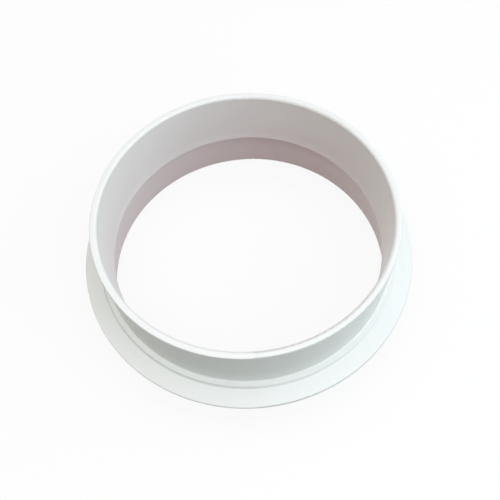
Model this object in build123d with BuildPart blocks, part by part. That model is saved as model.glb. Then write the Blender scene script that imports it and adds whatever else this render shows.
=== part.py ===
"""Duct reducer: a one-piece moulded ring that joins a 120 mm round duct to a 125 mm one.

The axis is Z. The origin is the centre of the lower end, on which the ring stands.
"""

import os

from build123d import *

# Outside diameters of the two spigots
upper_diameter = 120.0
lower_diameter = 125.0

# Walls of the two spigots
upper_wall = 2.8
lower_wall = 2.0

# Heights: the lower spigot up to the flange, and the upper spigot from its foot to the rim
lower_length = 17.7
upper_length = 25.8

# Flange: flat below, sloping above to a thin edge.
# Its reach is measured from the middle of the step between the spigots' outsides.
flange_reach = 8.15
flange_root = 4.2
flange_edge = 1.4

# Raised land round the foot of the upper spigot, with a sloping edge down to the flange
land_width = 2.1
land_height = 1.2
land_slope = 0.6

# Upper bore: it closes in a little from the rim, then more in a short lead above its lower edge
bore_draft = 0.5
lead_height = 4.0
lead_depth = 0.4

# Heights below the foot of the upper spigot: the upper bore's edge, and the top of the wider lower bore
bore_edge = 0.6
taper_end = 3.5

# Roundings of the section's corners
rim_outer_rounding = 0.4
rim_inner_rounding = 1.2
end_rounding = 0.6
edge_rounding = 0.5
land_rounding = 0.35
foot_fillet = 0.5
corner_fillet = 0.5
bore_rounding = 1.6
lead_fillet = 20.0

# Radii
upper_outer = upper_diameter / 2
upper_inner = upper_outer - upper_wall
lead_inner = upper_inner - bore_draft
bore_inner = lead_inner - lead_depth
lower_outer = lower_diameter / 2
lower_inner = lower_outer - lower_wall
flange_outer = (upper_outer + lower_outer) / 2 + flange_reach
land_outer = upper_outer + land_width

# Heights above the lower end
foot = lower_length + flange_root
rim = foot + upper_length
edge_top = lower_length + flange_edge
edge_height = foot - bore_edge
lead_top = edge_height + lead_height
bore_top = foot - taper_end

# Corners of the section that are rounded, as radius and height
end_corners = [(lower_inner, 0), (lower_outer, 0)]
inside_corners = [(lower_outer, lower_length), (lower_inner, bore_top)]
edge_corners = [(flange_outer, lower_length), (flange_outer, edge_top)]
land_corners = [(land_outer + land_slope, foot - land_height), (land_outer, foot)]
upper_foot = (upper_outer, foot)
rim_outer_corner = (upper_outer, rim)
rim_inner_corner = (upper_inner, rim)
lead_corner = (lead_inner, lead_top)
bore_corner = (bore_inner, edge_height)


def corners(sketch, points):
    """The sketch's vertices at these points."""
    return [sketch.vertices().sort_by_distance(point)[0] for point in points]


with BuildPart() as reducer_ring:
    # Section through one side of the ring: up the outside, over the rim and down the inside
    with BuildSketch(Plane.XZ) as section:
        with BuildLine():
            Polyline(
                *end_corners,
                inside_corners[0],
                *edge_corners,
                *land_corners,
                upper_foot,
                rim_outer_corner,
                rim_inner_corner,
                lead_corner,
                bore_corner,
                inside_corners[1],
                close=True,
            )
        make_face()
        fillet(corners(section, [rim_outer_corner]), rim_outer_rounding)
        fillet(corners(section, [rim_inner_corner]), rim_inner_rounding)
        fillet(corners(section, end_corners), end_rounding)
        fillet(corners(section, edge_corners), edge_rounding)
        fillet(corners(section, land_corners), land_rounding)
        fillet(corners(section, inside_corners), corner_fillet)
        fillet(corners(section, [upper_foot]), foot_fillet)
        fillet(corners(section, [bore_corner]), bore_rounding)
        fillet(corners(section, [lead_corner]), lead_fillet)
    revolve(axis=Axis.Z)

reducer_ring.part.label = "reducer_ring"

os.makedirs("parts", exist_ok=True)
export_step(reducer_ring.part, "parts/reducer_ring.step")
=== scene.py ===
"""Looks of the duct reducer: its white moulded plastic, a plain floor, soft light and the camera."""

import math

import bpy
from mathutils import Matrix, Vector


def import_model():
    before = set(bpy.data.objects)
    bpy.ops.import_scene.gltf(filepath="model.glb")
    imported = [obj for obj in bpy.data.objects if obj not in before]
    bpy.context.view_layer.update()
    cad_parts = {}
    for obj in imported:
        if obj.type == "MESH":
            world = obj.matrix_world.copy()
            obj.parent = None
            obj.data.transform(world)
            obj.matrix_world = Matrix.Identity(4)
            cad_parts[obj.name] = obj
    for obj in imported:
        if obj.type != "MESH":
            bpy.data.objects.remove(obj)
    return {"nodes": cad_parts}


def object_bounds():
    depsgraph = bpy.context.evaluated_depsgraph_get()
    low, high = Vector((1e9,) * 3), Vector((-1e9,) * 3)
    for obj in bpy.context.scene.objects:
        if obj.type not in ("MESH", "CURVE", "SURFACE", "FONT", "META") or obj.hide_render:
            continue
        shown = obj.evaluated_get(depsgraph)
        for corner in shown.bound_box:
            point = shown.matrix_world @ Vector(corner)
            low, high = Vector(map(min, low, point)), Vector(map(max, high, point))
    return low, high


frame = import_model()
cad_low, cad_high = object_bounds()

# Picture side in pixels, and the camera's focal length in the same pixels
PICTURE_SIDE = 500
FOCAL_PIXELS = 575
SENSOR_MM = 36.0

# Camera: where it stands from the middle of the rim, how far it looks down, and its roll
CAMERA_FROM_RIM = Vector((0.00086, -0.12127, 0.18588))
CAMERA_DOWN = math.radians(61.05)
CAMERA_ROLL = math.radians(4.46)

# Plastic: its two tints, its refraction and the range of its roughness
PLASTIC_LIGHT = (0.895, 0.915, 0.90, 1.0)
PLASTIC_DEEP = (0.87, 0.89, 0.875, 1.0)
PLASTIC_IOR = 1.49
ROUGHNESS_LOW = 0.30
ROUGHNESS_HIGH = 0.40

# Noise in the plastic: scales in object space, details, and bump heights in metres
TINT_SCALE = 18.0
TINT_DETAIL = 3.0
ROUGHNESS_SCALE = 160.0
ROUGHNESS_DETAIL = 4.0
GRAIN_SCALE = 2200.0
GRAIN_DETAIL = 2.0
GRAIN_HEIGHT = 0.00002
WAVE_SCALE = 45.0
WAVE_DETAIL = 1.0
WAVE_HEIGHT = 0.00006

# Floor: the colours that light the ring from under it and from round it, and where the first
# starts to fade into the second, as a share of the ring's radius
FLOOR_SIDE = 6.0
FLOOR_UNDER = (0.30, 0.05, 0.085, 1.0)
FLOOR_ROUND = (0.15, 0.15, 0.14, 1.0)
FLOOR_UNDER_SHARE = 0.85

# Floor as it is seen: near white, with a share of glow that leaves the shadow faint
FLOOR_WHITE = (0.96, 0.96, 0.96, 1.0)
FLOOR_GLOW = 1.0
FLOOR_GLOW_SHARE = 0.88

# Surround: the dim warm light that it gives, and the white background that is seen
WORLD_COLOUR = (1.0, 0.97, 0.85, 1.0)
WORLD_STRENGTH = 0.25
BACKGROUND_COLOUR = (1.0, 1.0, 1.0, 1.0)
BACKGROUND_STRENGTH = 1.0

# Lamps by name, with colour, watts, side in metres, and azimuth and elevation in degrees
LAMP_DISTANCE = 0.80
LAMPS = {
    "top": ((0.98, 0.89, 0.99), 4.3, 0.90, 90.0, 90.0),
    "right": ((0.80, 0.95, 1.0), 2.05, 0.60, 5.0, 25.0),
    "front_right": ((0.80, 0.98, 1.0), 1.85, 0.60, -45.0, 35.0),
    "left": ((0.82, 1.0, 0.78), 0.85, 0.60, 180.0, 40.0),
}


def add_node(tree, kind, **inputs):
    """A node of this kind, with the given input sockets set by name."""
    node = tree.nodes.new(kind)
    for name, value in inputs.items():
        node.inputs[name.replace("_", " ")].default_value = value
    return node


def noise(tree, coordinates, scale, detail):
    """The factor of a noise texture in object space."""
    node = add_node(tree, "ShaderNodeTexNoise", Scale=scale, Detail=detail)
    tree.links.new(coordinates, node.inputs["Vector"])
    return node.outputs["Fac"]


def mixed_colour(tree, factor, first, second):
    """A colour that goes from the first to the second as the factor goes from zero to one."""
    node = tree.nodes.new("ShaderNodeMix")
    node.data_type = "RGBA"
    node.inputs["A"].default_value = first
    node.inputs["B"].default_value = second
    tree.links.new(factor, node.inputs["Factor"])
    return node.outputs["Result"]


def bump(tree, height, distance, normal=None):
    """A bump of this distance in metres, laid over another normal."""
    node = add_node(tree, "ShaderNodeBump", Strength=1.0, Distance=distance)
    tree.links.new(height, node.inputs["Height"])
    if normal is not None:
        tree.links.new(normal, node.inputs["Normal"])
    return node.outputs["Normal"]


def plastic():
    """Semi-gloss white plastic with a faint tint drift, uneven gloss, slow waves and a fine grain."""
    material = bpy.data.materials.new("white_moulded_plastic")
    material.use_nodes = True
    tree = material.node_tree
    shader = tree.nodes["Principled BSDF"]
    shader.inputs["IOR"].default_value = PLASTIC_IOR
    coordinates = tree.nodes.new("ShaderNodeTexCoord").outputs["Object"]

    drift = noise(tree, coordinates, TINT_SCALE, TINT_DETAIL)
    tint = mixed_colour(tree, drift, PLASTIC_DEEP, PLASTIC_LIGHT)
    tree.links.new(tint, shader.inputs["Base Color"])

    gloss = add_node(tree, "ShaderNodeMapRange", To_Min=ROUGHNESS_LOW, To_Max=ROUGHNESS_HIGH)
    tree.links.new(noise(tree, coordinates, ROUGHNESS_SCALE, ROUGHNESS_DETAIL), gloss.inputs["Value"])
    tree.links.new(gloss.outputs["Result"], shader.inputs["Roughness"])

    waves = bump(tree, noise(tree, coordinates, WAVE_SCALE, WAVE_DETAIL), WAVE_HEIGHT)
    grain = bump(tree, noise(tree, coordinates, GRAIN_SCALE, GRAIN_DETAIL), GRAIN_HEIGHT, waves)
    tree.links.new(grain, shader.inputs["Normal"])
    return material


def seen_rays(tree):
    """One for rays that reach a surface from the camera, a reflection or glass, and zero for the rest."""
    path = tree.nodes.new("ShaderNodeLightPath")
    total = path.outputs["Is Camera Ray"]
    for name in ("Is Glossy Ray", "Is Transmission Ray"):
        step = tree.nodes.new("ShaderNodeMath")
        step.operation = "MAXIMUM"
        tree.links.new(total, step.inputs[0])
        tree.links.new(path.outputs[name], step.inputs[1])
        total = step.outputs["Value"]
    return total


def by_ray(tree, lighting, seen):
    """A shader that lights other surfaces as the first one and is seen as the second."""
    mix = tree.nodes.new("ShaderNodeMixShader")
    tree.links.new(seen_rays(tree), mix.inputs["Fac"])
    tree.links.new(lighting, mix.inputs[1])
    tree.links.new(seen, mix.inputs[2])
    return mix.outputs["Shader"]


def floor_bounce(tree):
    """What the floor throws on the ring: dark pink from under it, and dark grey from round it."""
    ring_radius = (cad_high.x - cad_low.x) / 2
    fade_start = ring_radius * FLOOR_UNDER_SHARE
    place = tree.nodes.new("ShaderNodeTexCoord").outputs["Object"]
    distance = tree.nodes.new("ShaderNodeVectorMath")
    distance.operation = "LENGTH"
    tree.links.new(place, distance.inputs[0])
    outward = add_node(tree, "ShaderNodeMapRange", From_Min=fade_start, From_Max=ring_radius)
    tree.links.new(distance.outputs["Value"], outward.inputs["Value"])
    bounce = tree.nodes.new("ShaderNodeBsdfDiffuse")
    tint = mixed_colour(tree, outward.outputs["Result"], FLOOR_UNDER, FLOOR_ROUND)
    tree.links.new(tint, bounce.inputs["Color"])
    return bounce.outputs["BSDF"]


def floor_look(tree):
    """How the floor is seen: near white, with the ring's shadow kept."""
    white = add_node(tree, "ShaderNodeBsdfDiffuse", Color=FLOOR_WHITE)
    glow = add_node(tree, "ShaderNodeEmission", Strength=FLOOR_GLOW)
    look = add_node(tree, "ShaderNodeMixShader", Fac=FLOOR_GLOW_SHARE)
    tree.links.new(white.outputs["BSDF"], look.inputs[1])
    tree.links.new(glow.outputs["Emission"], look.inputs[2])
    return look.outputs["Shader"]


def floor():
    """A pale floor at the foot of the ring."""
    bpy.ops.mesh.primitive_plane_add(size=FLOOR_SIDE, location=(0, 0, cad_low.z))
    plane = bpy.context.object
    plane.name = "floor"
    material = bpy.data.materials.new("pale_floor")
    material.use_nodes = True
    tree = material.node_tree
    tree.nodes.clear()
    out = tree.nodes.new("ShaderNodeOutputMaterial")
    tree.links.new(by_ray(tree, floor_bounce(tree), floor_look(tree)), out.inputs["Surface"])
    plane.data.materials.append(material)


def world():
    """Even light from all round, with a white background where it is seen."""
    scene_world = bpy.data.worlds.new("studio")
    scene_world.use_nodes = True
    tree = scene_world.node_tree
    tree.nodes.clear()
    out = tree.nodes.new("ShaderNodeOutputWorld")
    light = add_node(tree, "ShaderNodeBackground", Color=WORLD_COLOUR, Strength=WORLD_STRENGTH)
    white = add_node(tree, "ShaderNodeBackground", Color=BACKGROUND_COLOUR, Strength=BACKGROUND_STRENGTH)
    surround = by_ray(tree, light.outputs["Background"], white.outputs["Background"])
    tree.links.new(surround, out.inputs["Surface"])
    bpy.context.scene.world = scene_world


def softbox(name, colour, power, side, azimuth, elevation):
    """A square lamp that faces the middle of the ring, with its angles in degrees."""
    lamp = bpy.data.lights.new(name, "AREA")
    lamp.color = colour
    lamp.energy = power
    lamp.size = side
    middle = (cad_low + cad_high) / 2
    turn = math.radians(azimuth)
    rise = math.radians(elevation)
    away = Vector((math.cos(turn) * math.cos(rise), math.sin(turn) * math.cos(rise), math.sin(rise)))
    obj = bpy.data.objects.new(name, lamp)
    obj.location = middle + away * LAMP_DISTANCE
    obj.rotation_euler = (-away).to_track_quat("-Z", "Y").to_euler()
    bpy.context.scene.collection.objects.link(obj)


def camera():
    """The camera at the photograph's viewing angle, with its slight roll."""
    data = bpy.data.cameras.new("camera")
    data.sensor_width = SENSOR_MM
    data.lens = FOCAL_PIXELS / PICTURE_SIDE * SENSOR_MM
    obj = bpy.data.objects.new("camera", data)
    rim_middle = Vector((0, 0, cad_high.z))
    tilt = Matrix.Rotation(math.pi / 2 - CAMERA_DOWN, 4, "X")
    roll = Matrix.Rotation(-CAMERA_ROLL, 4, "Z")
    obj.matrix_world = Matrix.Translation(rim_middle + CAMERA_FROM_RIM) @ tilt @ roll
    bpy.context.scene.collection.objects.link(obj)
    bpy.context.scene.camera = obj


ring = frame["nodes"]["reducer_ring"]
ring.data.materials.clear()
ring.data.materials.append(plastic())

floor()
world()
for lamp_name, lamp_values in LAMPS.items():
    softbox(lamp_name, *lamp_values)
camera()
bpy.context.scene.view_settings.view_transform = "Standard"
